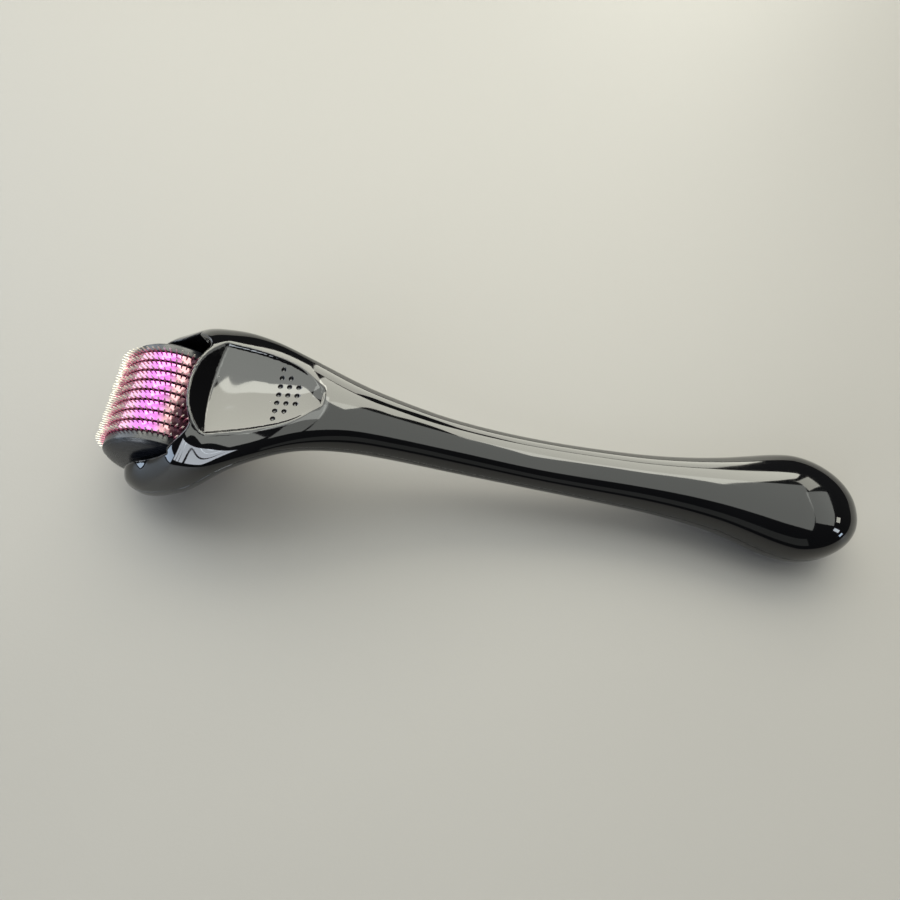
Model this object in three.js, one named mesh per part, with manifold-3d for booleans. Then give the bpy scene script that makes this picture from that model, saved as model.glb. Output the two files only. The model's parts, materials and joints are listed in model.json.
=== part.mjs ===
// Derma roller: a drum of needle rings turning on a steel pin between the two arms of a long
// moulded handle. Millimetres, +Z up. +X runs along the handle, from the drum to the round end.
// The origin is on the surface the roller lies on, below the middle of its length.
// Every outline below is given from the drum's axle, and the whole group is moved at the end.

import * as THREE from 'three';
import { mergeVertices } from 'three/addons/utils/BufferGeometryUtils.js';
import Module from 'manifold-3d';

const wasm = await Module();
wasm.setup();

// ---------------------------------------------------------------- driving dimensions

// Drum
const NEEDLE_TIP_R = 10.2;        // the drum rests on its needle tips
const NEEDLES_PER_RING = 60;
const RING_COUNT = 9;
const RING_PITCH = 1.93;
const NEEDLE_ROOT_R = 8.3;
const DISC_THICKNESS = 0.35;
const SPACER_R = 8.75;
const CORE_R = 6.0;
const CORE_CLEARANCE = 0.2;       // between the core and the rings pushed onto it
const STACK_GAP = 0.04;           // between neighbours in the stack
const CAP_R = 8.62;
const CAP_FACE_Y = 10.8;          // outermost face of an end cap
const PIN_R = 1.0;
const PIN_RUNNING_CLEARANCE = 0.06;

// Handle
const LENGTH_TO_TIP = 130.9;      // from the axle to the round end
const ARM_REACH = 4.8;            // how far the arms reach past the axle
const ARM_INNER_Y = 11.7;
const POCKET_R = 11.3;            // the hollow of the head behind the drum
const FRONT_WALL_X = 6.5;         // the head's front wall above the drum, at its middle
const FRONT_CORNER = { x: 8.1, y: 6.9 };   // where that wall turns into an arm
const CORNER_PULL = { x: 0.5, y: 2.1 };    // how the turn bulges, from there
const CORNER_REACH = 4.5;         // length of that turn along the arm
const PIN_SOCKET_DEPTH = 1.9;
const PIN_SOCKET_CLEARANCE = 0.15;
const WALL = 2.0;
const SEAM_GAP = 0.2;             // between the upper and the lower shell
const BULB_START = 116;           // where the round end begins to close
const ROUND_END = LENGTH_TO_TIP - BULB_START;

// Scooped panel on the head
const CREASE_X = 9.75;
const CREASE_BOW = 1.15;           // how much nearer the drum its middle is than its ends
const PANEL_END_X = 28.4;
const RAMP_SLOPE = 0.95;
const DIMPLE_R = 0.36;
const DIMPLE_DEPTH = 0.5;
const DIMPLE_PITCH = 1.54;
const DIMPLE_COLUMNS = [[20.97, 7], [22.51, 5], [24.05, 3]];   // place along X, how many

// Fineness of the solids
const SECTION_POINTS = 28;
const ROUND_SEGMENTS = 24;

const FULL_TURN = Math.PI * 2;
const UNDERSIDE_REST_Z = -NEEDLE_TIP_R;

// ---------------------------------------------------------------- the handle's outlines

// A smooth curve through points [x, value], flat past its ends.
function curve(points) {
  const last = points.length - 1;
  const slope = points.map((point, i) => {
    const before = points[Math.max(i - 1, 0)];
    const after = points[Math.min(i + 1, last)];
    return (after[1] - before[1]) / (after[0] - before[0]);
  });
  return (x) => {
    if (x <= points[0][0]) return points[0][1];
    if (x >= points[last][0]) return points[last][1];
    const i = points.findIndex((point) => point[0] > x) - 1;
    const span = points[i + 1][0] - points[i][0];
    const t = (x - points[i][0]) / span;
    const rise = points[i + 1][1] - points[i][1];
    const bend = (1 - t) * (slope[i] * span - rise) - t * (slope[i + 1] * span - rise);
    return points[i][1] + t * rise + t * (1 - t) * bend;
  };
}

// Half width seen from above.
const halfWidth = curve([
  [-5, 12.6], [-3.6, 14.0], [-1.5, 15.1], [1, 15.5], [5, 15.3], [8, 14.9], [11, 14.1],
  [14, 12.9], [19, 10.9], [25, 8.5], [33, 6.4], [40, 5.4], [52, 4.7], [68, 4.6], [86, 5.2],
  [95, 6.0], [103, 7.3], [108, 8.6], [113, 9.9], [118, 10.6], [131, 10.7],
]);

// Height of the widest line, which is also the seam between the shells.
const seamHeight = curve([
  [-5, -1.6], [0, 0.2], [4, 2.3], [7, 3.5], [9, 5.3], [11, 7.2], [13, 8.9], [16, 10.4],
  [20, 11.5], [24, 11.6], [28, 10.8], [33, 9.1], [40, 6.8], [52, 3.0], [68, 0.4], [86, -1.2],
  [103, -1.9], [110, -2.9], [116, -3.2], [131, -3.35],
]);

// Height of the crown and of the keel of the uncut body.
const crownHeight = curve([
  [-5, 8.4], [-3.4, 8.0], [-1, 7.7], [1, 9.0], [3, 10.9], [6.4, 14.4], [11, 13.9], [17, 14.3],
  [24, 14.7], [28, 14.3], [33, 13.0], [40, 10.6], [52, 6.95], [68, 4.1], [86, 3.4], [103, 3.7],
  [116, 3.8], [131, 3.7],
]);
const keelHeight = curve([
  [-5, -8.0], [-2, -9.6], [2, -8.6], [6, -5.0], [10, -0.6], [14, 3.0], [18, 5.2], [24, 6.2],
  [30, 5.4], [40, 1.8], [52, -1.15], [68, -3.9], [86, -5.65], [103, -8.0], [112, -9.9],
  [117, -10.3], [131, -10.3],
]);

// How much of a section's height is left near the two rounded ends.
function closing(x) {
  if (x < 0) return Math.sqrt(Math.max(1 - (x / ARM_REACH) ** 2, 0));
  if (x > BULB_START) return Math.sqrt(Math.max(1 - ((x - BULB_START) / ROUND_END) ** 2, 0));
  return 1;
}

// The body's half width, crown, keel and seam height at x.
function bodyAt(x) {
  const shrink = closing(x);
  const seam = seamHeight(x);
  return {
    seam,
    width: halfWidth(x) * (x > BULB_START ? shrink : 1),
    crown: seam + (crownHeight(x) - seam) * shrink,
    keel: seam + (keelHeight(x) - seam) * shrink,
  };
}

const SECTION_POWER = 2.3;        // 2 is an ellipse, and more is squarer

// Height of the uncut body's upper skin.
function skinHeight(x, y) {
  const body = bodyAt(x);
  const across = Math.min(Math.abs(y) / body.width, 1);
  return body.seam + (body.crown - body.seam) * (1 - across ** SECTION_POWER) ** (1 / SECTION_POWER);
}

// The scooped panel: half width seen from above, and depth below its own edges.
const panelHalfWidth = curve([
  [CREASE_X, 9.0], [11, 8.65], [14, 8.1], [17.5, 7.35], [21.5, 6.1], [23.8, 5.15], [26, 3.6],
  [27.6, 1.9], [PANEL_END_X, 0.7],
]);
const dishDepth = curve([
  [CREASE_X, 0.6], [14, 0.7], [18, 0.7], [22, 0.55], [25, 0.35], [PANEL_END_X, 0],
]);
const stepDepth = curve([[CREASE_X, 0.75], [18, 0.7], [24, 0.35], [PANEL_END_X, 0]]);
const COVE_SHARE = 0.1;           // the step's width, as a share of the half width
const CREASE_HALF_WIDTH = panelHalfWidth(CREASE_X);

function creaseAt(y) {
  return CREASE_X + CREASE_BOW * (y / CREASE_HALF_WIDTH) ** 2;
}

function panelFloor(x, y) {
  const along = Math.max(x, creaseAt(y));
  const edge = panelHalfWidth(along);
  const inward = 1 - Math.abs(y) / edge;
  const step = stepDepth(along) * Math.min(Math.max(inward / COVE_SHARE, 0), 1);
  const dish = dishDepth(along) * (1 - (y / edge) ** 2);
  const ramp = RAMP_SLOPE * (along - x);
  return skinHeight(along, edge) - step - dish + ramp;
}

// ---------------------------------------------------------------- solids

function toSolid(geometry) {
  const bare = new THREE.BufferGeometry();
  bare.setAttribute('position', geometry.getAttribute('position'));
  bare.setIndex(geometry.getIndex());
  const merged = mergeVertices(bare, 1e-4);
  return new wasm.Manifold(new wasm.Mesh({
    numProp: 3,
    vertProperties: merged.getAttribute('position').array,
    triVerts: new Uint32Array(merged.getIndex().array),
  }));
}

function toGeometry(solid) {
  const mesh = solid.getMesh();
  const geometry = new THREE.BufferGeometry();
  geometry.setAttribute('position', new THREE.BufferAttribute(mesh.vertProperties, 3));
  geometry.setIndex(new THREE.BufferAttribute(mesh.triVerts, 1));
  geometry.computeVertexNormals();
  return geometry;
}

// A closed skin over a row of rings, each with the same number of points, anticlockwise seen
// from +X, the rings going towards +X.
function loft(rings) {
  const size = rings[0].length;
  const positions = rings.flat().flatMap((point) => [point.x, point.y, point.z]);
  const index = [];
  for (let ring = 0; ring + 1 < rings.length; ring += 1) {
    for (let i = 0; i < size; i += 1) {
      const next = (i + 1) % size;
      const here = ring * size;
      const there = here + size;
      index.push(here + i, here + next, there + i);
      index.push(here + next, there + next, there + i);
    }
  }
  for (const end of [0, rings.length - 1]) {
    const middle = new THREE.Vector3();
    rings[end].forEach((point) => middle.add(point));
    middle.divideScalar(size);
    const centre = positions.length / 3;
    positions.push(middle.x, middle.y, middle.z);
    for (let i = 0; i < size; i += 1) {
      const a = end * size + i;
      const b = end * size + ((i + 1) % size);
      index.push(centre, ...(end === 0 ? [b, a] : [a, b]));
    }
  }
  const geometry = new THREE.BufferGeometry();
  geometry.setAttribute('position', new THREE.Float32BufferAttribute(positions, 3));
  geometry.setIndex(index);
  return geometry;
}

// Points of one section of the body, with its wall taken away all round.
function section(x, inset) {
  const body = bodyAt(x);
  const crown = body.crown - inset;
  const keel = body.keel + inset;
  const width = body.width - inset;
  const power = 2 / SECTION_POWER;
  const points = [];
  for (let i = 0; i < SECTION_POINTS; i += 1) {
    const angle = (FULL_TURN * i) / SECTION_POINTS;
    const side = Math.cos(angle);
    const up = Math.sin(angle);
    const reach = (up > 0 ? crown : keel) - body.seam;
    const y = width * Math.sign(side) * Math.abs(side) ** power;
    points.push(new THREE.Vector3(x, y, body.seam + reach * Math.abs(up) ** power));
  }
  return points;
}

// Places from a to b, closer together near an end that closes.
function places(a, b, count, closeStart, closeEnd) {
  return Array.from({ length: count + 1 }, (_, i) => {
    let t = i / count;
    if (closeStart) t = 1 - Math.cos((t * Math.PI) / 2);
    if (closeEnd) t = Math.sin((t * Math.PI) / 2);
    return a + (b - a) * t;
  });
}

function solidBody() {
  const tiny = 0.03;
  const stations = [
    ...places(-ARM_REACH + tiny, -1, 6, true, false),
    ...places(1, 34, 16, false, false),
    ...places(38, 112, 14, false, false),
    ...places(BULB_START, LENGTH_TO_TIP - tiny, 7, false, true),
  ];
  return toSolid(loft(stations.map((x) => section(x, 0))));
}

// The hollow inside the shells, from the end of the scooped panel to the round end.
function hollow() {
  const stations = [
    ...places(PANEL_END_X, 110, 12, false, false),
    ...places(BULB_START, LENGTH_TO_TIP - 2 * WALL, 4, false, true),
  ];
  return toSolid(loft(stations.map((x) => section(x, WALL))));
}

// Outline in X and Y, pulled along Z from low to high.
function uprightPrism(outline, low, high) {
  const geometry = new THREE.ExtrudeGeometry(outline, {
    depth: high - low, bevelEnabled: false, curveSegments: 6,
  });
  geometry.translate(0, 0, low);
  return toSolid(geometry);
}

// The room for the drum: a slot between the arms, with a round pocket behind it.
function drumRoom() {
  const outline = new THREE.Shape();
  outline.moveTo(-9, -ARM_INNER_Y + 0.9);
  outline.lineTo(-2, -ARM_INNER_Y);
  const { x, y } = FRONT_CORNER;
  const bulge = 2 * FRONT_WALL_X - x;
  outline.lineTo(x - CORNER_REACH, -ARM_INNER_Y);
  outline.quadraticCurveTo(x + CORNER_PULL.x, -y - CORNER_PULL.y, x, -y);
  outline.quadraticCurveTo(bulge, 0, x, y);
  outline.quadraticCurveTo(x + CORNER_PULL.x, y + CORNER_PULL.y, x - CORNER_REACH, ARM_INNER_Y);
  outline.lineTo(-2, ARM_INNER_Y);
  outline.lineTo(-9, ARM_INNER_Y - 0.9);
  const slot = uprightPrism(outline, -14, 20);
  const pocket = new THREE.CylinderGeometry(POCKET_R, POCKET_R, 2 * ARM_INNER_Y, 40);
  return slot.add(toSolid(pocket));
}

// What is scooped out of the head: the dished panel, and the ramp in front of it.
function scoop() {
  const lid = 22;
  const half = [1.2, 1, 1 - COVE_SHARE, 0.7, 0.45, 0.2];
  const across = [...half, 0, ...half.map((share) => -share).reverse()];
  const shares = [-0.31, -0.14, ...places(0, 1, 12, false, false)];
  const rings = shares.map((share) => {
    const nominal = CREASE_X + share * (PANEL_END_X - CREASE_X);
    const floor = across.map((part) => {
      const y = part * panelHalfWidth(nominal);
      const x = nominal + (creaseAt(y) - CREASE_X) * (1 - Math.max(share, 0));
      return new THREE.Vector3(x, y, panelFloor(x, y));
    });
    const [far, near] = [floor[0], floor[floor.length - 1]];
    const corners = [new THREE.Vector3(near.x, near.y, lid), new THREE.Vector3(far.x, far.y, lid)];
    return [...corners, ...floor].reverse();
  });
  return toSolid(loft(rings));
}

function dimples() {
  const pits = [];
  for (const [x, count] of DIMPLE_COLUMNS) {
    for (let i = 0; i < count; i += 1) {
      const y = (i - (count - 1) / 2) * DIMPLE_PITCH;
      const height = 2;
      const pit = new THREE.CylinderGeometry(DIMPLE_R, DIMPLE_R, height, 8);
      pit.rotateX(Math.PI / 2);
      pit.translate(x, y, panelFloor(x, y) - DIMPLE_DEPTH + height / 2);
      pits.push(toSolid(pit));
    }
  }
  return pits.reduce((all, pit) => all.add(pit));
}

// Blind sockets in the arms, which hold the ends of the pin.
function pinSockets() {
  const reach = ARM_INNER_Y + PIN_SOCKET_DEPTH;
  const radius = PIN_R + PIN_SOCKET_CLEARANCE;
  return toSolid(new THREE.CylinderGeometry(radius, radius, 2 * reach, ROUND_SEGMENTS));
}

// Everything above the seam, or everything below it.
function seamSide(upper) {
  const offset = (upper ? 1 : -1) * (SEAM_GAP / 2);
  const far = upper ? 30 : -30;
  const outline = new THREE.Shape();
  const line = [-12, ...places(-8, 44, 26, false, false), ...places(50, 140, 15, false, false)];
  outline.moveTo(-12, far);
  line.forEach((x) => outline.lineTo(x, seamHeight(x) + offset));
  outline.lineTo(140, far);
  const geometry = new THREE.ExtrudeGeometry(outline, { depth: 60, bevelEnabled: false });
  geometry.translate(0, 0, -30);
  geometry.rotateX(Math.PI / 2);
  return toSolid(geometry);
}

// The round end's underside is flattened a little where it lies on the table.
function belowTable() {
  const box = new THREE.BoxGeometry(60, 40, 4);
  box.translate(LENGTH_TO_TIP - 20, 0, UNDERSIDE_REST_Z - 2);
  return toSolid(box);
}

const wholeHandle = solidBody()
  .subtract(drumRoom())
  .subtract(scoop())
  .subtract(dimples())
  .subtract(pinSockets())
  .subtract(belowTable())
  .subtract(hollow());

// ---------------------------------------------------------------- the drum's pieces

// A ring round the drum's axis, pulled from outline, with a round hole through it.
function ringGeometry(outline, holeR, thickness, holeSegments) {
  const hole = new THREE.Path();
  for (let i = 0; i < holeSegments; i += 1) {
    const angle = (-FULL_TURN * i) / holeSegments;
    const point = [holeR * Math.cos(angle), holeR * Math.sin(angle)];
    if (i === 0) hole.moveTo(...point);
    else hole.lineTo(...point);
  }
  outline.holes.push(hole);
  const geometry = new THREE.ExtrudeGeometry(outline, { depth: thickness, bevelEnabled: false });
  geometry.translate(0, 0, -thickness / 2);
  geometry.rotateX(Math.PI / 2);
  return geometry;
}

// Smallest radius for a round hole of flat segments that clears a shaft.
function clearingRadius(shaftR, clearance, segments) {
  return (shaftR + clearance) / Math.cos(Math.PI / segments);
}

// Needle ring: a star with one point per needle. Odd rings are turned by half a needle.
function needleDisc(turned) {
  const pitch = FULL_TURN / NEEDLES_PER_RING;
  const start = -Math.PI / 2 + (turned ? pitch / 2 : 0);
  const outline = new THREE.Shape();
  for (let i = 0; i < 2 * NEEDLES_PER_RING; i += 1) {
    const angle = start + (i * pitch) / 2;
    const radius = i % 2 === 0 ? NEEDLE_TIP_R : NEEDLE_ROOT_R;
    const point = [radius * Math.cos(angle), radius * Math.sin(angle)];
    if (i === 0) outline.moveTo(...point);
    else outline.lineTo(...point);
  }
  const holeR = clearingRadius(CORE_R, CORE_CLEARANCE, ROUND_SEGMENTS);
  return ringGeometry(outline, holeR, DISC_THICKNESS, ROUND_SEGMENTS);
}

function spacerRing() {
  const segments = 40;
  const outline = new THREE.Shape();
  for (let i = 0; i < segments; i += 1) {
    const angle = (FULL_TURN * i) / segments;
    const point = [SPACER_R * Math.cos(angle), SPACER_R * Math.sin(angle)];
    if (i === 0) outline.moveTo(...point);
    else outline.lineTo(...point);
  }
  const holeR = clearingRadius(CORE_R, CORE_CLEARANCE, ROUND_SEGMENTS);
  const thickness = RING_PITCH - DISC_THICKNESS - 2 * STACK_GAP;
  return ringGeometry(outline, holeR, thickness, ROUND_SEGMENTS);
}

const pinHoleR = clearingRadius(PIN_R, PIN_RUNNING_CLEARANCE, ROUND_SEGMENTS);
const stackEndY = ((RING_COUNT - 1) / 2) * RING_PITCH + DISC_THICKNESS / 2;

function drumCore() {
  const profile = [[pinHoleR, -stackEndY], [CORE_R, -stackEndY], [CORE_R, stackEndY],
    [pinHoleR, stackEndY], [pinHoleR, -stackEndY]].map(([r, y]) => new THREE.Vector2(r, y));
  return new THREE.LatheGeometry(profile, ROUND_SEGMENTS);
}

// End cap: a short band, then a face that is domed out to a small flat hub.
function endCap() {
  const back = stackEndY + STACK_GAP;
  const profile = [
    [pinHoleR, back], [CAP_R, back], [CAP_R, 9.25], [CAP_R - 0.45, 9.62], [6.4, 10.2],
    [4.2, 10.58], [2.2, CAP_FACE_Y], [pinHoleR, CAP_FACE_Y], [pinHoleR, back],
  ].map(([r, y]) => new THREE.Vector2(r, y));
  return new THREE.LatheGeometry(profile, 48);
}

function axlePin() {
  const half = ARM_INNER_Y + PIN_SOCKET_DEPTH - 0.3;
  return new THREE.CylinderGeometry(PIN_R, PIN_R, 2 * half, ROUND_SEGMENTS);
}

// ---------------------------------------------------------------- materials

const blackGloss = () => new THREE.MeshStandardMaterial({
  color: 0x08080a, roughness: 0.08, metalness: 0,
});
const blackSatin = () => new THREE.MeshStandardMaterial({
  color: 0x0c0d12, roughness: 0.22, metalness: 0,
});
const magentaMetal = () => new THREE.MeshStandardMaterial({
  color: 0xa01890, roughness: 0.3, metalness: 0.85,
});
const needleMetal = () => new THREE.MeshStandardMaterial({
  color: 0xd8d0bc, roughness: 0.3, metalness: 1,
});
const steel = () => new THREE.MeshStandardMaterial({
  color: 0xb8b8b8, roughness: 0.25, metalness: 1,
});

// ---------------------------------------------------------------- assembly

const group = new THREE.Group();
group.position.set((NEEDLE_TIP_R - LENGTH_TO_TIP) / 2, 0, NEEDLE_TIP_R);

function place(name, geometry, material, y = 0) {
  const mesh = new THREE.Mesh(geometry, material);
  mesh.name = name;
  mesh.position.y = y;
  group.add(mesh);
  return mesh;
}

place('handle_upper_shell', toGeometry(wholeHandle.intersect(seamSide(true))), blackGloss());
place('handle_lower_shell', toGeometry(wholeHandle.intersect(seamSide(false))), blackGloss());
place('axle_pin', axlePin(), steel());
place('drum_core', drumCore(), blackSatin());
place('end_cap_far', endCap(), blackSatin());
place('end_cap_near', endCap(), blackSatin()).rotation.z = Math.PI;

for (let i = 0; i < RING_COUNT; i += 1) {
  const y = (i - (RING_COUNT - 1) / 2) * RING_PITCH;
  place(`needle_disc_${i + 1}`, needleDisc(i % 2 === 1), needleMetal(), y);
  if (i + 1 < RING_COUNT) {
    place(`spacer_ring_${i + 1}`, spacerRing(), magentaMetal(), y + RING_PITCH / 2);
  }
}

export default group;
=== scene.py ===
# The looks of a derma roller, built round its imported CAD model.
# Shapes are written in millimetres from the drum's axle, X along the handle and Z up, and
# fit() puts them in the CAD model's own frame, in metres.

import json
import math
from itertools import product

import bmesh
import bpy
import numpy as np
from mathutils import Matrix, Vector


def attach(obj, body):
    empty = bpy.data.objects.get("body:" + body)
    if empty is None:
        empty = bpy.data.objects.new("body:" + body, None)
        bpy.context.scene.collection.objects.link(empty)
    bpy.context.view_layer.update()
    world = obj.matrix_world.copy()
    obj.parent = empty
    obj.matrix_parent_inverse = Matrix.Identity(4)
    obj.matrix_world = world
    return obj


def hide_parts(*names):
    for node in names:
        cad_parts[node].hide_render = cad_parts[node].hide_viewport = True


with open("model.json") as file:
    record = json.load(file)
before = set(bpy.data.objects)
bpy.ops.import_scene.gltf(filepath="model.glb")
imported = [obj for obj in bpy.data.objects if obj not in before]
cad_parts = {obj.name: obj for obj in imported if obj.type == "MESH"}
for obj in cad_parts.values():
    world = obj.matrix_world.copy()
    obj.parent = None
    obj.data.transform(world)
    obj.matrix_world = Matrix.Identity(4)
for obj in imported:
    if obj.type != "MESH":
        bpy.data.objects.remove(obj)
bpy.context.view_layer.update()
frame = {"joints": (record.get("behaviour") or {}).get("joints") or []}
AXLE = Vector(frame["joints"][0]["pos_m"])
MM = 0.001

# ---------------------------------------------------------------- sizes, in millimetres

# Drum
NEEDLE_TIP_R = 10.2
NEEDLE_HALF_WIDTH = 0.22
NEEDLE_FLATNESS = 0.7
NEEDLES_PER_RING = 60
RING_COUNT = 9
RING_PITCH = 1.93
DISC_R = 8.35
DISC_THICKNESS = 0.26
SPACER_R = 8.75
SPACER_SLANT = 0.03
SLANT_SEED = 5
STACK_GAP = 0.04
CORE_R = 6.0
CORE_CLEARANCE = 0.2
CAP_R = 8.62
CAP_FACE_Y = 10.8
PIN_R = 1.0
PIN_RUNNING_CLEARANCE = 0.06
PIN_SOCKET_CLEARANCE = 0.08
PIN_END_PLAY = 0.3
PIN_HALF_LENGTH = 13.3
BORE_R = PIN_R + PIN_RUNNING_CLEARANCE
STACK_END = RING_PITCH * (RING_COUNT - 1) / 2 + DISC_THICKNESS / 2

# How finely round shapes are divided
DRUM_SEGMENTS, HUB_SEGMENTS, PIN_SEGMENTS, SOCKET_SEGMENTS = 160, 96, 64, 48
NEEDLE_SIDES, PIT_SIDES = 4, 20

# Handle
LENGTH_TO_TIP = 130.9
ARM_REACH = 4.8
ARM_BLUNTNESS = 0.04
ARM_INNER_Y = 11.7
ARM_MOUTH_X, ARM_MOUTH_FLARE = -9, 0.9
POCKET_R = 11.3
FRONT_WALL_X = 6.5
FRONT_CORNER_X, FRONT_CORNER_Y = 8.1, 6.9
CORNER_PULL_X, CORNER_PULL_Y = 0.5, 2.1
CORNER_REACH = 4.5
BULB_START = 116
ROUND_END = LENGTH_TO_TIP - BULB_START
SECTION_POWER = 2.3
REST_Z = -NEEDLE_TIP_R

# Scooped panel
CREASE_X = 9.75
CREASE_BOW = 1.15
PANEL_END_X = 28.4
COVE_SHARE = 0.05
RAMP_SLOPE = 0.93
PIT_R = 0.36
PIT_DEPTH = 0.5
PIT_PITCH = 1.54
PIT_START_X = 20.97
PITS_IN_COLUMN = (7, 5, 3)

# Moulding detail
EDGE_ROUND = 0.45
CREASE_ROUND = 0.22
TIP_ROUND = 1.6
REST_FLAT_ROUND = 0.1
SOCKET_CHAMFER = 0.35
SEAM_GAP = 0.08
SEAM_CHAMFER = 0.03

# Grid that the handle's mesh is made on, with long cells only on the plain middle
GRID_STEP = 0.25
GRID_START_X, GRID_START_Y, GRID_START_Z = -6.1, -16.375, -11.13
GRID_END_X, GRID_END_Y, GRID_END_Z = LENGTH_TO_TIP + 1, 16.5, 15.9
MIDDLE_START_X, MIDDLE_END_X = 30, LENGTH_TO_TIP - 8
CELL_GROWTH, GROWTH_LENGTH = 0.02, 15
SLAB = 40

# The curves' sampling: distance between samples, spread of the smoothing, length past the ends
CURVE_STEP = 0.05
CURVE_SPREAD = 1.3
CURVE_MARGIN = 10

# ---------------------------------------------------------------- numbers for the looks

# Stripes of painted sheen along the drum: how many there are round it, and how far
# they are shifted, in degrees of their own cycle of colours
SHEEN_STRIPE_COUNT = 5
SHEEN_STRIPE_SHIFT = 8

FLOOR_HALF_SIZE = 3.0
LIGHT_DISTANCE = 1.2
WARM = (1.0, 0.99, 0.86)
GREY = (0.97, 1.0, 0.93)
PALE = (0.86, 0.93, 1.0)
COOL = (0.66, 0.81, 1.0)
ROOM_COLOUR = (0.025, 0.025, 0.026, 1)
BACKDROP_COLOUR = (0.62, 0.61, 0.6, 1)

CAMERA_PLACE = (-0.01695, -0.05777, 0.13125)
CAMERA_ANGLES = (25.2187, -6.4058, 5.7875)
FOCAL_LENGTH = 29.2
SENSOR_WIDTH = 36


# ---------------------------------------------------------------- mesh helpers

def linked(name, data):
    """A new object in the scene that shows a mesh, a light or a camera."""
    thing = bpy.data.objects.new(name, data)
    bpy.context.scene.collection.objects.link(thing)
    return thing


def new_object(name, points, faces):
    mesh = bpy.data.meshes.new(name)
    mesh.from_pydata(points, [], [list(map(int, face)) for face in faces])
    return linked(name, mesh)


def fit(thing, node, body, finish, sharp_angle):
    """Makes an object, built in millimetres from the axle, stand for a CAD node."""
    mesh = thing.data
    mesh.transform(Matrix.Translation(AXLE) @ Matrix.Scale(MM, 4))
    mesh.shade_smooth()
    mesh.set_sharp_from_angle(angle=math.radians(sharp_angle))
    mesh.materials.clear()
    mesh.materials.append(finish.material)
    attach(thing, body)
    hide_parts(node)


def lathe(profile, segments):
    """A closed profile of (r, y) points turned round the Y axis, the solid on its left."""
    profile = np.array(profile)
    size = len(profile)
    angles = 2 * math.pi * np.arange(segments) / segments
    r, y = profile.T
    points = np.stack([np.outer(np.cos(angles), r), np.broadcast_to(y, (segments, size)),
                       np.outer(np.sin(angles), r)], axis=2).reshape(-1, 3)
    faces = []
    for i in range(segments):
        here = i * size
        there = (i + 1) % segments * size
        for j in range(size):
            k = (j + 1) % size
            faces.append((here + j, there + j, there + k, here + k))
    return points, faces


def spike(stations, sides, flat=1.0):
    """A closed spike along Z through (height, radius) stations, flattened along Y.

    The last station is its tip.
    """
    angles = 2 * math.pi * (np.arange(sides) + 0.5) / sides
    points = [(radius * math.cos(a), flat * radius * math.sin(a), height)
              for height, radius in stations[:-1] for a in angles]
    points.append((0, 0, stations[-1][0]))
    faces = [tuple(range(sides))[::-1]]
    for ring in range(len(stations) - 2):
        for i in range(sides):
            k = (i + 1) % sides
            low, high = ring * sides, (ring + 1) * sides
            faces.append((low + i, low + k, high + k, high + i))
    top = (len(stations) - 2) * sides
    faces += [(top + i, top + (i + 1) % sides, len(points) - 1) for i in range(sides)]
    return np.array(points), faces


def joined(parts):
    """One list of points and faces from several."""
    points = []
    faces = []
    for part_points, part_faces in parts:
        shift = sum(len(group) for group in points)
        points.append(part_points)
        faces += [tuple(index + shift for index in face) for face in part_faces]
    return np.vstack(points), faces


# ---------------------------------------------------------------- the handle's outlines

def curve(points):
    """A smooth function that follows points (x, value) closely, and is flat past its ends."""
    x, value = np.array(points, float).T
    before = np.r_[0, np.arange(len(x) - 1)]
    after = np.r_[np.arange(1, len(x)), len(x) - 1]
    slope = (value[after] - value[before]) / (x[after] - x[before])

    # A cubic between each two points
    fine = np.arange(x[0] - CURVE_MARGIN, x[-1] + CURVE_MARGIN, CURVE_STEP)
    here = np.clip(fine, x[0], x[-1])
    i = np.clip(np.searchsorted(x, here, side="right") - 1, 0, len(x) - 2)
    span = x[i + 1] - x[i]
    t = (here - x[i]) / span
    rise = value[i + 1] - value[i]
    bend = (1 - t) * (slope[i] * span - rise) - t * (slope[i + 1] * span - rise)
    height = value[i] + t * rise + t * (1 - t) * bend

    # A weighted mean over a short stretch takes out the changes of bend at the points
    reach = 4 * CURVE_SPREAD
    offsets = np.arange(-reach, reach + CURVE_STEP, CURVE_STEP)
    weight = np.exp(-0.5 * (offsets / CURVE_SPREAD) ** 2)
    padded = np.pad(height, len(offsets) // 2, mode="edge")
    even = np.convolve(padded, weight / weight.sum(), mode="same")
    even = even[len(offsets) // 2:][:len(fine)]
    return lambda at: np.interp(at, fine, even)


half_width = curve([
    (-5, 12.6), (-3.6, 14.0), (-1.5, 15.1), (1, 15.5), (5, 15.3), (8, 14.9), (11, 14.1),
    (14, 12.9), (19, 10.9), (25, 8.5), (33, 6.4), (40, 5.4), (52, 4.7), (68, 4.6), (86, 5.2),
    (95, 6.0), (103, 7.3), (108, 8.6), (113, 9.9), (118, 10.6), (131, 10.7)])
seam_height = curve([
    (-5, -1.6), (0, 0.2), (4, 2.3), (7, 3.5), (9, 5.3), (11, 7.2), (13, 8.9), (16, 10.4),
    (20, 11.5), (24, 11.6), (28, 10.8), (33, 9.1), (40, 6.8), (52, 3.0), (68, 0.4), (86, -1.2),
    (103, -1.9), (110, -2.9), (116, -3.2), (131, -3.35)])
crown_height = curve([
    (-5, 8.4), (-3.4, 8.0), (-1, 7.7), (1, 9.0), (3, 10.9), (6.4, 14.4), (11, 13.9), (17, 14.3),
    (24, 14.7), (28, 14.3), (33, 13.0), (40, 10.6), (52, 6.95), (68, 4.1), (86, 3.4),
    (103, 3.7), (116, 3.8), (131, 3.7)])
keel_height = curve([
    (-5, -8.0), (-2, -9.6), (2, -8.6), (6, -5.0), (10, -0.6), (14, 3.0), (18, 5.2), (24, 6.2),
    (30, 5.4), (40, 1.8), (52, -1.15), (68, -3.9), (86, -5.65), (103, -8.0), (112, -9.9),
    (117, -10.3), (131, -10.3)])
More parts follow.
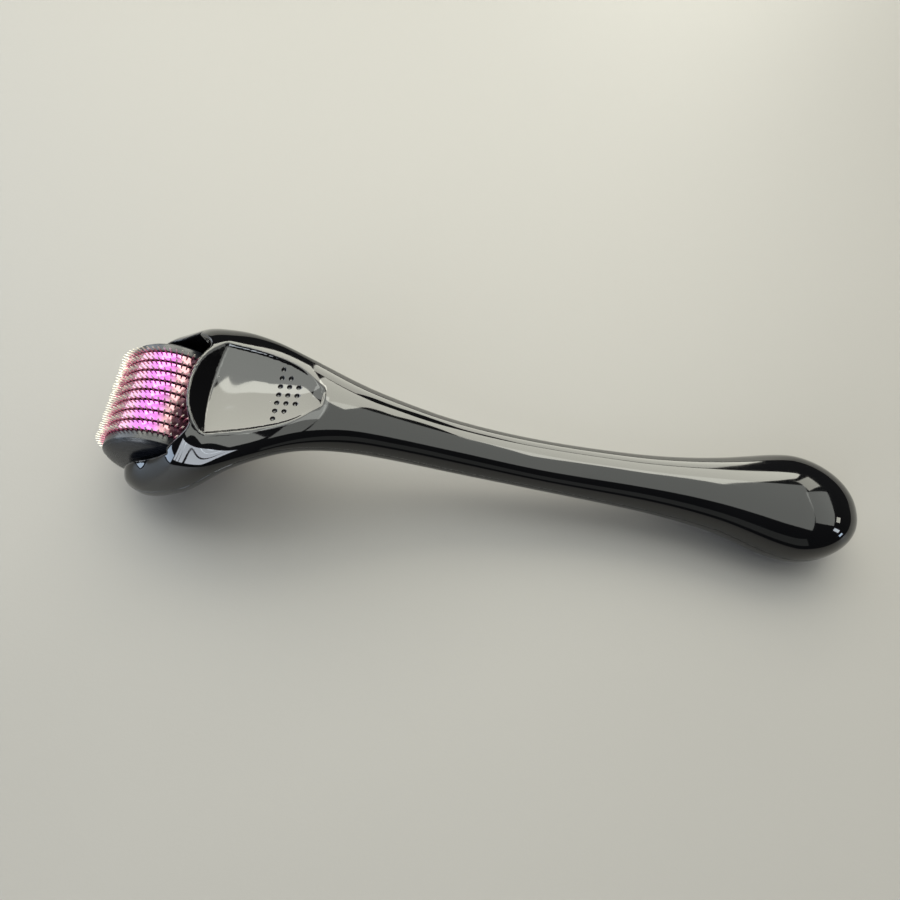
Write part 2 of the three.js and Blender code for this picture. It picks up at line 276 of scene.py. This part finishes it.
panel_half_width = curve([
    (CREASE_X, 9.0), (11, 8.65), (14, 8.1), (17.5, 7.35), (21.5, 6.1), (23.8, 5.15), (26, 3.6),
    (27.6, 1.9), (PANEL_END_X, 0.7)])
dish_depth = curve([
    (CREASE_X, 0.85), (14, 0.85), (18, 0.8), (22, 0.6), (25, 0.35), (PANEL_END_X, 0)])
step_depth = curve([(CREASE_X, 0.3), (20, 0.3), (25, 0.15), (PANEL_END_X, 0)])
CREASE_HALF_WIDTH = panel_half_width(CREASE_X)


def skin_height(x, y):
    """Height of the uncut body's upper skin."""
    across = np.minimum(np.abs(y) / half_width(x), 1)
    seam = seam_height(x)
    rise = (1 - across ** SECTION_POWER) ** (1 / SECTION_POWER)
    return seam + (crown_height(x) - seam) * rise


def panel_floor(x, y):
    """Height of the dished panel, of the ramp in front of it, and of the air past its end."""
    crease = CREASE_X + CREASE_BOW * (y / CREASE_HALF_WIDTH) ** 2
    along = np.clip(x, crease, PANEL_END_X)
    edge = panel_half_width(along)
    inward = 1 - np.abs(y) / edge
    share = np.clip(inward / COVE_SHARE, 0, 1)
    step = step_depth(along) * share * share * (3 - 2 * share)
    dish = np.maximum(dish_depth(along), 0) * (1 - (y / edge) ** 2)
    ramp = RAMP_SLOPE * np.maximum(crease - x, 0)
    past = np.maximum(x - PANEL_END_X, 0)
    return skin_height(along, edge) - step - dish + ramp + past


# ---------------------------------------------------------------- the handle as a distance

def smooth_max(a, b, blend):
    """The larger of a and b, with the edge between them rounded over a length of blend."""
    near = np.maximum(blend - np.abs(a - b), 0) / blend
    return np.maximum(a, b) + near ** 2 * blend / 4


def body_norm(x, y, z):
    """Below 0 inside the uncut body, and above 0 outside."""
    seam = seam_height(x)
    reach = np.where(z > seam, crown_height(x) - seam, seam - keel_height(x))
    front = np.maximum(1 - (np.minimum(x, 0) / ARM_REACH) ** 2, 0)
    nose = np.sqrt(front + ARM_BLUNTNESS)
    across = np.abs(y) / half_width(x)
    up = np.abs(z - seam) / (reach * nose)
    ring = (across ** SECTION_POWER + up ** SECTION_POWER) ** (1 / SECTION_POWER)
    tail = np.maximum(x - BULB_START, 0) / ROUND_END
    return np.sqrt(ring ** 2 + tail ** 2) - 1


def slopes(function, x, y, z, step):
    """How fast function changes along X, Y and Z."""
    return [(function(x + step * (i == 0), y + step * (i == 1), z + step * (i == 2))
             - function(x - step * (i == 0), y - step * (i == 1), z - step * (i == 2)))
            / (2 * step) for i in range(3)]


def body_distance(x, y, z):
    """Distance to the uncut body, from its norm and how steep that is."""
    gx, gy, gz = slopes(body_norm, x, y, z, 0.02)
    least_slope = 0.02
    return body_norm(x, y, z) / np.maximum(np.sqrt(gx ** 2 + gy ** 2 + gz ** 2), least_slope)


def bend_through(a, control, b, count):
    """Points, after a, on the parabola from a to b whose two ends point at control."""
    t = np.linspace(0, 1, count)[1:, None]
    a, control, b = map(np.array, (a, control, b))
    return list((1 - t) ** 2 * a + 2 * t * (1 - t) * control + t ** 2 * b)


def slot_outline():
    """The room between the arms, seen from above."""
    x, y = FRONT_CORNER_X, FRONT_CORNER_Y
    half = [(ARM_MOUTH_X, -ARM_INNER_Y + ARM_MOUTH_FLARE), (-2, -ARM_INNER_Y),
            (x - CORNER_REACH, -ARM_INNER_Y)]
    half += bend_through(half[-1], (x + CORNER_PULL_X, -y - CORNER_PULL_Y), (x, -y), 14)
    front = bend_through((x, -y), (2 * FRONT_WALL_X - x, 0), (x, y), 24)[:-1]
    other = [(point[0], -point[1]) for point in reversed(half)]
    return np.array([*half, *front, *other])


def outline_distance(x, y, outline):
    """Distance from points to a closed outline, below 0 inside it."""
    nearest = np.full(np.broadcast(x, y).shape, 1e9)
    inside = np.zeros(nearest.shape, bool)
    for a, b in zip(outline, np.roll(outline, -1, axis=0)):
        run = b - a
        t = np.clip(((x - a[0]) * run[0] + (y - a[1]) * run[1]) / (run @ run), 0, 1)
        gap = np.hypot(x - a[0] - t * run[0], y - a[1] - t * run[1])
        nearest = np.minimum(nearest, gap)
        if a[1] != b[1]:
            crosses = (a[1] > y) != (b[1] > y)
            inside ^= crosses & (x < a[0] + (y - a[1]) * run[0] / run[1])
    return np.where(inside, -nearest, nearest)


SLOT = slot_outline()


def drum_room_distance(x, y, z):
    """Distance to the room for the drum: the slot between the arms, and a round pocket."""
    slot = outline_distance(x, y, SLOT)
    pocket = smooth_max(np.hypot(x, z) - POCKET_R, np.abs(y) - ARM_INNER_Y, EDGE_ROUND)
    return -smooth_max(-slot, -pocket, EDGE_ROUND)


def above_panel_distance(x, y, z):
    """How far a point is above the panel's floor, square to it."""
    gx, gy, _ = slopes(lambda a, b, c: panel_floor(a, b), x, y, 0, 0.05)
    return (z - panel_floor(x, y)) / np.sqrt(1 + gx ** 2 + gy ** 2)


def handle_distance(x, y, z):
    """Distance to the finished moulding, below 0 inside the plastic."""
    shape = body_distance(x, y, z)
    shape = smooth_max(shape, -ARM_REACH - x, TIP_ROUND)
    shape = smooth_max(shape, -drum_room_distance(x, y, z), EDGE_ROUND)
    shape = smooth_max(shape, above_panel_distance(x, y, z), CREASE_ROUND)
    return smooth_max(shape, REST_Z - z, REST_FLAT_ROUND)


# ---------------------------------------------------------------- a mesh on a distance

CORNERS = list(product((0, 1), repeat=3))


def crossed_cells(inside):
    """Which cells of the grid have corners on both sides of the surface."""
    count = np.zeros([n - 1 for n in inside.shape], np.int8)
    for a, b, c in CORNERS:
        count += inside[a:a - 1 or None, b:b - 1 or None, c:c - 1 or None]
    return (count > 0) & (count < len(CORNERS))


def cell_points(grid_lines, field, inside, crossed):
    """A point for each crossed cell, the mean of where the surface cuts the cell's edges."""
    cell = np.nonzero(crossed)
    total = np.zeros((len(cell[0]), 3))
    hits = np.zeros(len(cell[0]))
    for start, end in product(CORNERS, CORNERS):
        if start >= end or sum(abs(a - b) for a, b in zip(start, end)) != 1:
            continue
        low = tuple(c + s for c, s in zip(cell, start))
        high = tuple(c + e for c, e in zip(cell, end))
        crosses = inside[low] != inside[high]
        share = field[low] / np.where(crosses, field[low] - field[high], 1)
        for axis, lines in enumerate(grid_lines):
            at = lines[low[axis]] + share * (lines[high[axis]] - lines[low[axis]])
            total[:, axis] += np.where(crosses, at, 0)
        hits += crosses
    return total / hits[:, None]


def cell_quads(inside, number):
    """A quad for each grid edge that the surface cuts, between the four cells round it."""
    faces = []
    for axis in range(3):
        second, third = (axis + 1) % 3, (axis + 2) % 3
        span = [slice(1, -1)] * 3
        span[axis] = slice(None, -1)
        past = list(span)
        past[axis] = slice(1, None)
        turns = inside[tuple(span)] != inside[tuple(past)]
        at = np.nonzero(turns)
        base = [at[i] + (0 if i == axis else 1) for i in range(3)]
        solid_first = inside[tuple(base)]
        around = []
        for back_second, back_third in ((1, 1), (0, 1), (0, 0), (1, 0)):
            spot = list(base)
            spot[second] = spot[second] - back_second
            spot[third] = spot[third] - back_third
            around.append(number[tuple(spot)])
        quad = np.column_stack(around)
        faces.append(np.where(solid_first[:, None], quad, quad[:, ::-1]))
    return np.vstack(faces)


def net(grid_lines, field):
    """Quads round the surface where field is 0, one point in each cell that it crosses."""
    inside = field < 0
    crossed = crossed_cells(inside)
    number = np.full(crossed.shape, -1)
    number[crossed] = np.arange(crossed.sum())
    return cell_points(grid_lines, field, inside, crossed), cell_quads(inside, number)


def onto_surface(points, distance, longest, rounds=1):
    """Moves each point towards the surface where distance is 0, by no more than longest."""
    least_steepness = 0.2
    for _ in range(rounds):
        x, y, z = points.T
        slope = np.column_stack(slopes(distance, x, y, z, 0.03))
        steep = np.maximum((slope ** 2).sum(axis=1), least_steepness)
        move = -slope * (distance(x, y, z) / steep)[:, None]
        points = points + np.clip(move, -longest, longest)
    return points


def evened(points, faces, distance, longest, rounds=4):
    """Spreads the points evenly over the surface."""
    ends = np.vstack([faces[:, [0, 1]], faces[:, [1, 2]], faces[:, [2, 3]], faces[:, [3, 0]]])
    ends = np.vstack([ends, ends[:, ::-1]])
    shared = np.bincount(ends[:, 0], minlength=len(points))
    for _ in range(rounds):
        mean = np.column_stack([np.bincount(ends[:, 0], points[ends[:, 1], axis], len(points))
                                for axis in range(3)]) / shared[:, None]
        points = onto_surface(points + 0.5 * (mean - points), distance, longest)
    return points


def handle_grid():
    """Where the grid's planes are along X, Y and Z."""
    along = [GRID_START_X]
    while along[-1] < GRID_END_X:
        past_head = max(along[-1] - MIDDLE_START_X, 0)
        before_end = max(MIDDLE_END_X - along[-1], 0)
        growth = CELL_GROWTH * min(past_head, before_end, GROWTH_LENGTH)
        along.append(along[-1] + GRID_STEP + growth)
    return (np.array(along), np.arange(GRID_START_Y, GRID_END_Y, GRID_STEP),
            np.arange(GRID_START_Z, GRID_END_Z, GRID_STEP))


def handle_mesh():
    """The handle before pits and sockets are cut, its distance worked out a slab at a time."""
    xs, ys, zs = handle_grid()
    field = np.empty((len(xs), len(ys), len(zs)))
    for i in range(0, len(xs), SLAB):
        x = xs[i:i + SLAB, None, None]
        field[i:i + SLAB] = handle_distance(x, ys[None, :, None], zs[None, None, :])
    points, faces = net((xs, ys, zs), field)
    points = evened(points, faces, handle_distance, GRID_STEP)
    return onto_surface(points, handle_distance, GRID_STEP, rounds=2), faces


def pit_cutters():
    """Round-bottomed pegs with a flared top, in columns that grow shorter to the panel's end."""
    stations = [(-PIT_DEPTH, 0.16), (-PIT_DEPTH + 0.06, 0.27), (-PIT_DEPTH + 0.2, PIT_R),
                (-0.07, PIT_R + 0.01), (0.02, PIT_R + 0.08), (0.5, PIT_R + 0.4), (0.9, 0)]
    pegs = []
    for column, count in enumerate(PITS_IN_COLUMN):
        x = PIT_START_X + column * PIT_PITCH
        for i in range(count):
            y = (i - (count - 1) / 2) * PIT_PITCH
            points, faces = spike(stations, PIT_SIDES)
            pegs.append((points + (x, y, panel_floor(x, y)), faces))
    return joined(pegs)


def socket_cutter():
    """The blind sockets for the pin, with chamfered mouths."""
    deep = PIN_HALF_LENGTH + PIN_END_PLAY
    hole = PIN_R + PIN_SOCKET_CLEARANCE
    wide = hole + SOCKET_CHAMFER
    outer, inner = ARM_INNER_Y + 0.25, ARM_INNER_Y - 0.1
    core = 0.2
    profile = [(core, -deep), (hole, -deep), (hole, -outer), (wide, -inner),
               (wide, inner), (hole, outer), (hole, deep), (core, deep)]
    return lathe(profile, SOCKET_SEGMENTS)


def moulding():
    """The whole handle, pits and sockets cut, as a mesh in millimetres from the axle."""
    whole = new_object("whole", *handle_mesh())
    cutter = new_object("cutter", *joined([pit_cutters(), socket_cutter()]))
    cut = whole.modifiers.new("cut", "BOOLEAN")
    cut.object = cutter
    cut.operation = "DIFFERENCE"
    cut.solver = "EXACT"
    evaluated = whole.evaluated_get(bpy.context.evaluated_depsgraph_get())
    mesh = bpy.data.meshes.new_from_object(evaluated)
    bpy.data.objects.remove(cutter)
    bpy.data.objects.remove(whole)
    return mesh


def lean(shape, direction):
    """Moves every point so that the seam lies in the plane z = 0 (-1), or back again (1)."""
    heights = seam_height(np.array([vertex.co.x for vertex in shape.verts]))
    for vertex, height in zip(shape.verts, heights):
        vertex.co.z += direction * height


def shell(whole, name, side):
    """The part of the moulding above the seam (side 1) or below it (side -1).

    Its lip is chamfered, and a flat face closes it along the seam.
    """
    shape = bmesh.new()
    shape.from_mesh(whole)
    lean(shape, -1)
    cut = side * (SEAM_GAP / 2 + SEAM_CHAMFER)
    everything = shape.verts[:] + shape.edges[:] + shape.faces[:]
    bmesh.ops.bisect_plane(shape, geom=everything, dist=1e-4, plane_co=(0, 0, cut),
                           plane_no=(0, 0, side), clear_inner=True)
    shape.normal_update()
    lip = [edge for edge in shape.edges if edge.is_boundary]
    inward = {}
    for vertex in {v for edge in lip for v in edge.verts}:
        flat = Vector((vertex.normal.x, vertex.normal.y, 0))
        inward[vertex] = -flat.normalized() * SEAM_CHAMFER
    made = bmesh.ops.extrude_edge_only(shape, edges=lip)["geom"]
    for edge in shape.edges:
        old = [v for v in edge.verts if v in inward]
        new = [v for v in edge.verts if v not in inward and v in made]
        if len(old) == 1 and len(new) == 1:
            new[0].co = old[0].co + inward[old[0]] - Vector((0, 0, side * SEAM_CHAMFER))
    mating = [edge for edge in shape.edges if edge.is_boundary]
    bmesh.ops.triangle_fill(shape, use_beauty=True, edges=mating, normal=(0, 0, -side))
    lean(shape, 1)
    bmesh.ops.recalc_face_normals(shape, faces=shape.faces)
    mesh = bpy.data.meshes.new(name)
    shape.to_mesh(mesh)
    shape.free()
    return linked(name, mesh)


# ---------------------------------------------------------------- finishes

class Finish:
    """A procedural material, with short ways to add and join its nodes."""

    def __init__(self, name, shader_values):
        self.material = bpy.data.materials.new(name)
        self.material.use_nodes = True
        self.tree = self.material.node_tree
        self.shader = self.tree.nodes["Principled BSDF"]
        for label, value in shader_values.items():
            self.shader.inputs[label].default_value = value
        self.place = self.node("TexCoord").outputs["Object"]
        self.bumps = None

    def node(self, kind, values=(), **settings):
        made = self.tree.nodes.new("ShaderNode" + kind)
        for label, value in settings.items():
            setattr(made, label, value)
        for label, value in dict(values).items():
            if isinstance(value, bpy.types.NodeSocket):
                self.tree.links.new(value, made.inputs[label])
            else:
                made.inputs[label].default_value = value
        return made

    def scaled(self, x, y, z):
        """The place on the object, stretched along each axis."""
        return self.node("Mapping", {0: self.place, 3: (x, y, z)}).outputs[0]

    def noise(self, place, scale, detail=3):
        return self.node("TexNoise", {0: place, "Scale": scale, "Detail": detail}).outputs[0]

    def span(self, value, start, end, low, high):
        """low where value is start, high where it is end, and held past both."""
        return self.node("MapRange", {0: value, 1: start, 2: end, 3: low, 4: high}).outputs[0]

    def math(self, operation, a, b):
        return self.node("Math", {0: a, 1: b}, operation=operation).outputs[0]

    def blend(self, share, a, b):
        """Colour a where share is 0 and colour b where it is 1."""
        return self.node("Mix", {0: share, 6: a, 7: b}, data_type="RGBA").outputs[2]

    def radius(self):
        """Distance from the axle, in metres."""
        out = self.node("VectorMath", {0: self.place, 1: AXLE}, operation="SUBTRACT").outputs[0]
        flat = self.node("VectorMath", {0: out, 1: (1, 0, 1)}, operation="MULTIPLY").outputs[0]
        return self.node("VectorMath", {0: flat}, operation="LENGTH").outputs["Value"]

    def bump(self, height, distance):
        """Adds relief of that distance, in metres, to the finish's normal."""
        values = {"Height": height, "Distance": distance, "Strength": 1}
        if self.bumps:
            values["Normal"] = self.bumps
        self.bumps = self.node("Bump", values).outputs[0]
        self.drive("Normal", self.bumps)

    def drive(self, label, value):
        self.tree.links.new(value, self.shader.inputs[label])


def specks(finish, scale, size, share):
    """1 in small scattered dots and 0 between them."""
    cells = finish.node("TexVoronoi", {0: finish.place, "Scale": scale})
    dot = finish.span(cells.outputs["Distance"], size * 0.7, size, 1, 0)
    pick = finish.node("SeparateColor", {0: cells.outputs["Color"]}).outputs[0]
    return finish.math("MULTIPLY", dot, finish.span(pick, share, share + 0.01, 1, 0))


def gloss_finish():
    finish = Finish("jet_black_gloss", {"IOR": 1.5, "Coat Weight": 0.25, "Coat Roughness": 0.02})
    tone = finish.noise(finish.place, 70)
    dust = specks(finish, 420, 0.05, 0.05)
    dark = finish.blend(tone, (0.001, 0.001, 0.0012, 1), (0.0028, 0.0028, 0.0032, 1))
    finish.drive("Base Color", finish.blend(dust, dark, (0.22, 0.21, 0.2, 1)))
    smear = finish.span(finish.noise(finish.scaled(1, 2.2, 1), 55, 5), 0.45, 0.75, 0.022, 0.085)
    fine = finish.span(finish.noise(finish.place, 2600, 2), 0.3, 0.7, 0, 0.02)
    rough = finish.math("ADD", smear, fine)
    finish.drive("Roughness", finish.math("MAXIMUM", rough, finish.math("MULTIPLY", dust, 0.6)))
    finish.bump(finish.noise(finish.place, 130, 2), 1.2e-5)
    finish.bump(finish.noise(finish.scaled(0.05, 1, 1), 2500, 2), 4e-7)
    finish.bump(dust, 2e-5)
    return finish


def satin_finish():
    finish = Finish("black_satin", {"IOR": 1.5})
    tone = finish.noise(finish.place, 160)
    dust = specks(finish, 500, 0.05, 0.04)
    dark = finish.blend(tone, (0.002, 0.0023, 0.0035, 1), (0.005, 0.0058, 0.0085, 1))
    finish.drive("Base Color", finish.blend(dust, dark, (0.2, 0.2, 0.2, 1)))
    outward = finish.span(finish.radius(), 0, 0.01, 0, 1)
    lines = finish.noise(finish.node("CombineXYZ", {0: outward}).outputs[0], 70, 3)
    finish.drive("Roughness", finish.span(finish.math("ADD", lines, tone), 0.7, 1.3, 0.2, 0.32))
    finish.bump(lines, 1.5e-6)
    finish.bump(finish.noise(finish.place, 900, 3), 2e-6)
    return finish


def band_finish():
    """Anodised metal with painted sheen: stripes round the drum take its colour from rose through
    lilac to violet, and painted shade darkens its sides in the grooves.
    """
    finish = Finish("magenta_anodised_painted_sheen", {
        "Metallic": 0.9, "IOR": 1.5, "Coat Weight": 1.0, "Coat Roughness": 0.05})
    grain = finish.noise(finish.scaled(0.02, 1, 0.02), 9000, 2)
    cloud = finish.noise(finish.place, 260, 3)
    share = finish.span(finish.math("ADD", grain, cloud), 0.7, 1.3, 0, 1)
    out = finish.node("VectorMath", {0: finish.place, 1: AXLE}, operation="SUBTRACT").outputs[0]
    side = finish.node("SeparateXYZ", {0: out}).outputs
    # Painted sheen: the stripes' colours stand for coloured reflections on the bands, and turn with
    # the drum
    lobes = finish.math("MULTIPLY", finish.math("ARCTAN2", side[2], side[0]), SHEEN_STRIPE_COUNT)
    waver = finish.span(finish.noise(finish.place, 60), 0, 1, -1.9, -1.3)
    wavy = finish.math("ADD", lobes, waver)
    turn = finish.math("SUBTRACT", wavy, math.radians(SHEEN_STRIPE_SHIFT))
    rose = finish.blend(share, (0.15, 0.06, 0.075, 1), (0.2, 0.085, 0.105, 1))
    lilac = finish.blend(share, (0.3, 0.11, 0.17, 1), (0.38, 0.15, 0.23, 1))
    violet = finish.blend(share, (0.27, 0.04, 0.26, 1), (0.35, 0.06, 0.34, 1))
    sides = finish.blend(finish.span(finish.math("SINE", turn, 0), -0.6, 0.4, 0, 1), rose, lilac)
    painted_sheen_colour = finish.blend(finish.span(finish.math("COSINE", turn, 0), -0.1, 0.8, 0, 1), sides, violet)
    # Painted shade: the band's rounded sides, nearer than 8.55 mm to the axle, darken to deep
    # maroon in the grooves by the needle discs
    edge = finish.span(finish.radius(), 0.00855, 0.00868, 1, 0)
    finish.drive("Base Color", finish.blend(edge, painted_sheen_colour, (0.1, 0.01, 0.07, 1)))
    finish.drive("Roughness", finish.span(share, 0, 1, 0.1, 0.2))
    finish.bump(grain, 5e-7)
    finish.bump(finish.noise(finish.place, 500, 2), 3e-6)
    return finish


def needle_finish():
    finish = Finish("titanium_needles", {"Metallic": 0.4})
    cloud = finish.noise(finish.place, 900, 3)
    # Painted reflection and shade: the needles' roots take the pink-maroon of the bands round them,
    # blending to the cream tips from 9.1 to 9.7 mm from the axle
    height = finish.span(finish.radius(), 0.0091, 0.0097, 0, 1)
    root_band_reflection = finish.blend(cloud, (0.3, 0.07, 0.12, 1), (0.4, 0.12, 0.18, 1))
    tip = finish.blend(cloud, (0.5, 0.47, 0.39, 1), (0.6, 0.57, 0.48, 1))
    reflected_root_to_tip = finish.blend(height, root_band_reflection, tip)
    # Painted shade: nearer than 8.45 to 8.7 mm to the axle the needles turn near black, down in the
    # slots between the bands
    deep = finish.span(finish.radius(), 0.00845, 0.0087, 1, 0)
    finish.drive("Base Color", finish.blend(deep, reflected_root_to_tip, (0.02, 0.006, 0.014, 1)))
    finish.drive("Roughness", finish.span(cloud, 0.3, 0.7, 0.1, 0.24))
    finish.bump(finish.noise(finish.place, 6000, 2), 1e-6)
    return finish


def steel_finish():
    finish = Finish("ground_steel", {"Metallic": 1})
    grain = finish.noise(finish.scaled(0.05, 1, 0.05), 6000, 3)
    finish.drive("Base Color", finish.blend(grain, (0.42, 0.42, 0.43, 1), (0.62, 0.61, 0.6, 1)))
    finish.drive("Roughness", finish.span(grain, 0.3, 0.7, 0.18, 0.34))
    finish.bump(grain, 1e-6)
    return finish


def floor_finish():
    finish = Finish("pale_table", {"IOR": 1.45})
    cloud = finish.noise(finish.place, 6, 5)
    finish.drive("Base Color", finish.blend(cloud, (0.172, 0.164, 0.154, 1), (0.2, 0.191, 0.18, 1)))
    finish.drive("Roughness", finish.span(cloud, 0.3, 0.7, 0.42, 0.5))
    finish.bump(finish.noise(finish.place, 1500, 3), 1e-5)
    return finish


# ---------------------------------------------------------------- the handle's two shells

GLOSS = gloss_finish()
SATIN = satin_finish()
BAND = band_finish()
NEEDLE = needle_finish()
STEEL = steel_finish()

whole = moulding()
for name, side in (("upper_shell", 1), ("lower_shell", -1)):
    thing = shell(whole, name, side)
    fit(thing, f"handle_{name}", "handle", GLOSS, sharp_angle=50)
bpy.data.meshes.remove(whole)


# ---------------------------------------------------------------- the drum

def rounded(corners, sizes, steps=4):
    """A closed outline of (r, y) corners, each rounded over its own length of both sides."""
    outline = []
    corners = [np.array(corner, float) for corner in corners]
    for i, (corner, size) in enumerate(zip(corners, sizes)):
        if size == 0:
            outline.append(tuple(corner))
            continue
        before = corners[i - 1] - corner
        after = corners[(i + 1) % len(corners)] - corner
        start = corner + before / np.linalg.norm(before) * size
        end = corner + after / np.linalg.norm(after) * size
        for t in np.linspace(0, 1, steps + 1):
            outline.append(tuple((1 - t) ** 2 * start + 2 * t * (1 - t) * corner + t ** 2 * end))
    return outline


def turned(name, profile, segments, node, body, finish, sharp_angle=30):
    """A piece turned on the lathe, which stands for a CAD node."""
    thing = new_object(name, *lathe(profile, segments))
    fit(thing, node, body, finish, sharp_angle)


def needle_ring(number, y):
    """One thin disc with its needles."""
    half = DISC_THICKNESS / 2
    inner = CORE_R + CORE_CLEARANCE
    disc = lathe([(inner, y - half), (DISC_R, y - half), (DISC_R, y + half), (inner, y + half)],
                 NEEDLES_PER_RING * 2)
    stations = [(DISC_R - 0.2, NEEDLE_HALF_WIDTH), (9.2, 0.2), (9.85, 0.17), (10.1, 0.1),
                (NEEDLE_TIP_R, 0)]
    points, faces = spike(stations, NEEDLE_SIDES, NEEDLE_FLATNESS)
    parts = [disc]
    for i in range(NEEDLES_PER_RING):
        turn = 2 * math.pi * (i + number % 2 / 2) / NEEDLES_PER_RING - math.pi / 2
        x = points[:, 2] * math.cos(turn) - points[:, 0] * math.sin(turn)
        z = points[:, 2] * math.sin(turn) + points[:, 0] * math.cos(turn)
        parts.append((np.column_stack([x, points[:, 1] + y, z]), faces))
    thing = new_object(f"needles_{number}", *joined(parts))
    fit(thing, f"needle_disc_{number}", "drum", NEEDLE, sharp_angle=40)


def band(number, y, slant):
    """One band between two needle rings, a little out of true."""
    half = (RING_PITCH - DISC_THICKNESS) / 2 - STACK_GAP
    inner = CORE_R + CORE_CLEARANCE
    low_r, high_r = SPACER_R - max(slant, 0), SPACER_R - max(-slant, 0)
    corners = [(inner, y - half), (low_r, y - half), (high_r, y + half), (inner, y + half)]
    profile = rounded(corners, (0, 0.12, 0.12, 0))
    node = f"spacer_ring_{number}"
    turned(f"band_{number}", profile, DRUM_SEGMENTS, node, "drum", BAND)


def cap(name, side):
    """The cap on the far end of the drum (side 1) or the near one (side -1), with its dome."""
    back = STACK_END + STACK_GAP
    dome = [(CAP_R, 9.25), (8.4, 9.42), (8.0, 9.76), (7.3, 10.13), (6.2, 10.43), (4.6, 10.66),
            (2.2, CAP_FACE_Y)]
    corners = [(BORE_R, back), (CAP_R, back), *dome, (BORE_R, CAP_FACE_Y)]
    profile = rounded(corners, (0, 0.08, 0.1, 0.1, 0.25, 0.35, 0.5, 0.7, 0.8, 0.1))
    if side < 0:
        profile = [(r, -y) for r, y in reversed(profile)]
    node = f"end_cap_{name}"
    turned(f"cap_{name}", profile, DRUM_SEGMENTS, node, "drum", SATIN,
           sharp_angle=40)


def hub():
    """The core that the rings, bands and caps are stacked on."""
    end = STACK_END
    corners = [(BORE_R, -end), (CORE_R, -end), (CORE_R, end), (BORE_R, end)]
    profile = rounded(corners, (0.1, 0.2, 0.2, 0.1))
    turned("hub", profile, HUB_SEGMENTS, "drum_core", "drum", SATIN)


def pin():
    """The rod that the drum turns on, with a hair-thin hole where a lathe's axis is."""
    end, hair = PIN_HALF_LENGTH, 0.02
    corners = [(hair, -end), (PIN_R, -end), (PIN_R, end), (hair, end)]
    profile = rounded(corners, (0, 0.15, 0.15, 0))
    turned("pin", profile, PIN_SEGMENTS, "axle_pin", "handle", STEEL)


for i in range(RING_COUNT):
    needle_ring(i + 1, (i - (RING_COUNT - 1) / 2) * RING_PITCH)
slants = np.random.default_rng(SLANT_SEED).uniform(-SPACER_SLANT, SPACER_SLANT, RING_COUNT - 1)
for i, slant in enumerate(slants):
    band(i + 1, (i - (RING_COUNT - 2) / 2) * RING_PITCH, slant)
cap("far", 1)
cap("near", -1)
hub()
pin()


# ---------------------------------------------------------------- floor, light and camera

floor_corners = [(x * FLOOR_HALF_SIZE, y * FLOOR_HALF_SIZE, 0)
                 for x, y in ((-1, -1), (1, -1), (1, 1), (-1, 1))]
floor = new_object("floor", floor_corners, [(0, 1, 2, 3)])
floor.data.materials.append(floor_finish().material)


def softbox(name, azimuth, elevation, width, height, radiance, colour):
    """A rectangular light, as seen from the middle of the floor under the object.

    Its azimuth is 0 on the far side and 90 at the round end. All angles are in degrees.
    """
    turn, rise = math.radians(azimuth), math.radians(elevation)
    place = Vector((math.sin(turn) * math.cos(rise), math.cos(turn) * math.cos(rise),
                    math.sin(rise))) * LIGHT_DISTANCE
    light = bpy.data.lights.new(name, "AREA")
    light.shape = "RECTANGLE"
    light.size = 2 * LIGHT_DISTANCE * math.tan(math.radians(width / 2))
    light.size_y = 2 * LIGHT_DISTANCE * math.tan(math.radians(height / 2))
    light.energy = radiance * math.pi * light.size * light.size_y
    light.color = colour
    thing = linked(name, light)
    thing.location = place
    thing.rotation_euler = place.to_track_quat("Z", "Y").to_euler()


# name, azimuth, elevation, width, height, radiance, colour
softbox("left_window", -19, 42, 40, 34, 7.5, WARM)
softbox("left_ceiling", -66, 60, 25, 30, 3.6, GREY)
softbox("left_low", -67, 25, 38, 42, 4.0, PALE)
softbox("top", -4, 75, 34, 29, 3.0, GREY)
softbox("right_window", 25, 46, 24, 27, 7.5, WARM)
softbox("right_wing", 50, 36, 10, 14, 4.0, WARM)
softbox("low_window", 14, 17, 19, 28, 5.5, WARM)
softbox("right_ceiling", 84, 61, 50, 26, 1.9, GREY)
softbox("right_side", 78, 38, 30, 20, 1.8, GREY)
softbox("near_top", -126, 65, 20, 17, 3.0, GREY)
softbox("zenith", 90, 84, 46, 20, 1.9, GREY)
for azimuth in (-157, -150, -144, -138):
    softbox("near_left", azimuth, 28, 5, 40, 8.0, PALE)
softbox("low_left", -120, 8, 26, 13, 7.0, COOL)
softbox("near_strip", 155, 22, 30, 20, 0.25, GREY)
softbox("spark_high", 99, 20, 4, 9, 7.0, PALE)
softbox("spark_low", 101, 8, 5, 4, 7.0, COOL)
softbox("spark_side", 85, 23, 6, 5, 5.0, WARM)

world = bpy.data.worlds.new("studio")
world.use_nodes = True
nodes = world.node_tree.nodes
links = world.node_tree.links
seen = nodes.new("ShaderNodeLightPath").outputs["Is Camera Ray"]
tint = nodes.new("ShaderNodeMix")
tint.data_type = "RGBA"
tint.inputs[6].default_value = ROOM_COLOUR
tint.inputs[7].default_value = BACKDROP_COLOUR
links.new(seen, tint.inputs[0])
links.new(tint.outputs[2], nodes["Background"].inputs[0])
bpy.context.scene.world = world
bpy.context.scene.view_settings.view_transform = "Standard"

lens = bpy.data.cameras.new("camera")
lens.lens = FOCAL_LENGTH
lens.sensor_width = SENSOR_WIDTH
lens.clip_start = 0.005
camera = linked("camera", lens)
camera.location = CAMERA_PLACE
camera.rotation_euler = [math.radians(angle) for angle in CAMERA_ANGLES]
bpy.context.scene.camera = camera
